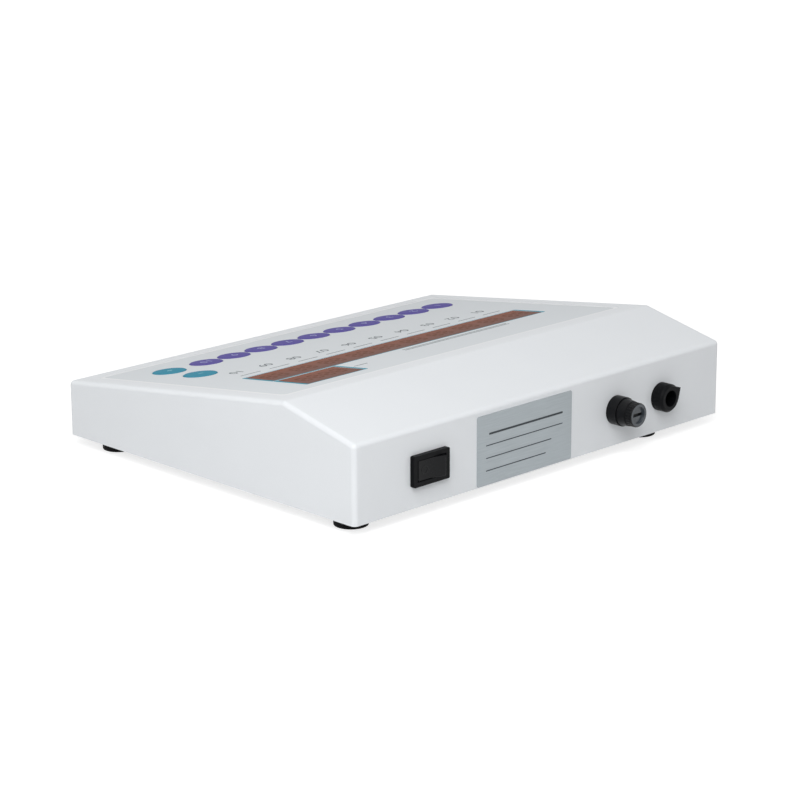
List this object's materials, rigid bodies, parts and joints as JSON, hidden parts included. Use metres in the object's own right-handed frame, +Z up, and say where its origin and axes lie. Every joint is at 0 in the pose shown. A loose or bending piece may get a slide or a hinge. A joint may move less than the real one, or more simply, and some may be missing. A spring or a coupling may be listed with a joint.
{
  "type": "tally counter",
  "caption": "Sloped desk-top laboratory tally counter with a row of round press keys, smoked display windows, and a rear rocker switch, fuse holder and cord gland.",
  "frame": {"origin": "on the table under the middle of the whole box, at the bottoms of the feet", "axes": "+X to the user's right, +Y to the rear where the mains fittings are, +Z up"},
  "size_m": [0.26, 0.223, 0.0549],
  "materials": {
    "case_abs": "white moulded ABS, fine satin texture",
    "base_enamel": "pale grey enamelled sheet steel",
    "foot_rubber": "black moulded rubber",
    "zinc_steel": "zinc-plated steel",
    "overlay_print": "printed polycarbonate film, fine matt",
    "guide_plastic": "dark grey moulded plastic",
    "smoked_filter": "red-brown smoked acrylic",
    "key_violet": "violet printed key, satin",
    "key_teal": "teal printed key, satin",
    "board_green": "glass-epoxy board with green solder mask",
    "component_black": "black moulded epoxy",
    "digit_module": "dark red-black digit module",
    "header_ivory": "ivory nylon",
    "ribbon_grey": "grey flat cable",
    "plated_brass": "bright brass",
    "ferrite": "sintered ferrite",
    "winding_copper": "enamelled copper under yellow tape",
    "capacitor_can": "aluminium can in a dark blue sleeve",
    "sink_aluminium": "black anodised aluminium",
    "terminal_green": "green nylon",
    "switch_black": "black nylon, satin",
    "rocker_black": "black nylon, glossy",
    "fuse_black": "black thermoset, glossy",
    "fuse_glass": "clear glass tube",
    "nickel_cap": "nickel-plated brass",
    "gland_nylon": "black nylon, satin",
    "plate_foil": "silver foil plate, fine matt",
    "lead_brown": "brown insulated wire",
    "lead_blue": "blue insulated wire"
  },
  "bodies": {
    "case": {"top_case": "case_abs", "base_plate": "base_enamel", "foot_rear_right": "foot_rubber", "foot_rear_left": "foot_rubber", "foot_front_right": "foot_rubber", "foot_front_left": "foot_rubber", "foot_screws": "zinc_steel", "foot_nuts": "zinc_steel", "case_screws": "zinc_steel", "key_overlay": "overlay_print", "key_guide": "guide_plastic", "tally_window": "smoked_filter", "total_window": "smoked_filter", "display_board": "board_green", "board_screws": "zinc_steel", "key_switches": "component_black", "tally_digits": "digit_module", "total_digits": "digit_module", "controller_chip": "component_black", "beeper": "component_black", "display_header": "header_ivory", "ribbon_cable": "ribbon_grey", "power_board": "board_green", "power_standoffs": "plated_brass", "power_screws": "zinc_steel", "transformer_core": "ferrite", "transformer_winding": "winding_copper", "smoothing_capacitor": "capacitor_can", "heatsink": "sink_aluminium", "regulator": "component_black", "mains_terminal": "terminal_green", "power_header": "header_ivory", "switch_body": "switch_black", "switch_terminals": "plated_brass", "fuse_body": "fuse_black", "fuse_nut": "fuse_black", "fuse_terminals": "plated_brass", "cord_gland": "gland_nylon", "gland_nut": "gland_nylon", "rating_plate": "plate_foil", "switch_leads": "lead_brown", "fuse_leads": "lead_blue"},
    "tally_key_01": {"tally_key_01": "key_violet"},
    "tally_key_02": {"tally_key_02": "key_violet"},
    "tally_key_03": {"tally_key_03": "key_violet"},
    "tally_key_04": {"tally_key_04": "key_violet"},
    "tally_key_05": {"tally_key_05": "key_violet"},
    "tally_key_06": {"tally_key_06": "key_violet"},
    "tally_key_07": {"tally_key_07": "key_violet"},
    "tally_key_08": {"tally_key_08": "key_violet"},
    "tally_key_09": {"tally_key_09": "key_violet"},
    "tally_key_10": {"tally_key_10": "key_violet"},
    "mode_key_front": {"mode_key_front": "key_teal"},
    "mode_key_rear": {"mode_key_rear": "key_teal"},
    "rocker": {"switch_rocker": "rocker_black"},
    "fuse_holder": {"fuse_carrier": "fuse_black", "fuse_link": "fuse_glass", "fuse_end_caps": "nickel_cap"},
    "fuse_knob": {"fuse_cap": "fuse_black"}
  },
  "joints": [
    {"name": "tally_key_01_press", "type": "slide", "parent": "case", "child": "tally_key_01", "axis": [0, 0.1328, -0.9911], "range_m": [0, 0.00045], "stiffness_N_per_m": 1500, "springref_m": -0.0005},
    {"name": "tally_key_02_press", "type": "slide", "parent": "case", "child": "tally_key_02", "axis": [0, 0.1328, -0.9911], "range_m": [0, 0.00045], "stiffness_N_per_m": 1500, "springref_m": -0.0005},
    {"name": "tally_key_03_press", "type": "slide", "parent": "case", "child": "tally_key_03", "axis": [0, 0.1328, -0.9911], "range_m": [0, 0.00045], "stiffness_N_per_m": 1500, "springref_m": -0.0005},
    {"name": "tally_key_04_press", "type": "slide", "parent": "case", "child": "tally_key_04", "axis": [0, 0.1328, -0.9911], "range_m": [0, 0.00045], "stiffness_N_per_m": 1500, "springref_m": -0.0005},
    {"name": "tally_key_05_press", "type": "slide", "parent": "case", "child": "tally_key_05", "axis": [0, 0.1328, -0.9911], "range_m": [0, 0.00045], "stiffness_N_per_m": 1500, "springref_m": -0.0005},
    {"name": "tally_key_06_press", "type": "slide", "parent": "case", "child": "tally_key_06", "axis": [0, 0.1328, -0.9911], "range_m": [0, 0.00045], "stiffness_N_per_m": 1500, "springref_m": -0.0005},
    {"name": "tally_key_07_press", "type": "slide", "parent": "case", "child": "tally_key_07", "axis": [0, 0.1328, -0.9911], "range_m": [0, 0.00045], "stiffness_N_per_m": 1500, "springref_m": -0.0005},
    {"name": "tally_key_08_press", "type": "slide", "parent": "case", "child": "tally_key_08", "axis": [0, 0.1328, -0.9911], "range_m": [0, 0.00045], "stiffness_N_per_m": 1500, "springref_m": -0.0005},
    {"name": "tally_key_09_press", "type": "slide", "parent": "case", "child": "tally_key_09", "axis": [0, 0.1328, -0.9911], "range_m": [0, 0.00045], "stiffness_N_per_m": 1500, "springref_m": -0.0005},
    {"name": "tally_key_10_press", "type": "slide", "parent": "case", "child": "tally_key_10", "axis": [0, 0.1328, -0.9911], "range_m": [0, 0.00045], "stiffness_N_per_m": 1500, "springref_m": -0.0005},
    {"name": "mode_key_front_press", "type": "slide", "parent": "case", "child": "mode_key_front", "axis": [0, 0.1328, -0.9911], "range_m": [0, 0.00045], "stiffness_N_per_m": 1500, "springref_m": -0.0005},
    {"name": "mode_key_rear_press", "type": "slide", "parent": "case", "child": "mode_key_rear", "axis": [0, 0.1328, -0.9911], "range_m": [0, 0.00045], "stiffness_N_per_m": 1500, "springref_m": -0.0005},
    {"name": "switch_rock", "type": "hinge", "parent": "case", "child": "rocker", "pos_m": [0.083, 0.0955, 0.0238], "axis": [0, 0, 1], "range_deg": [0, 18]},
    {"name": "fuse_pull", "type": "slide", "parent": "case", "child": "fuse_holder", "axis": [0, 1, 0], "range_m": [0, 0.025]},
    {"name": "fuse_turn", "type": "hinge", "parent": "fuse_holder", "child": "fuse_knob", "pos_m": [-0.0489, 0.1025, 0.0238], "axis": [0, 1, 0], "range_deg": [0, 90]}
  ]
}
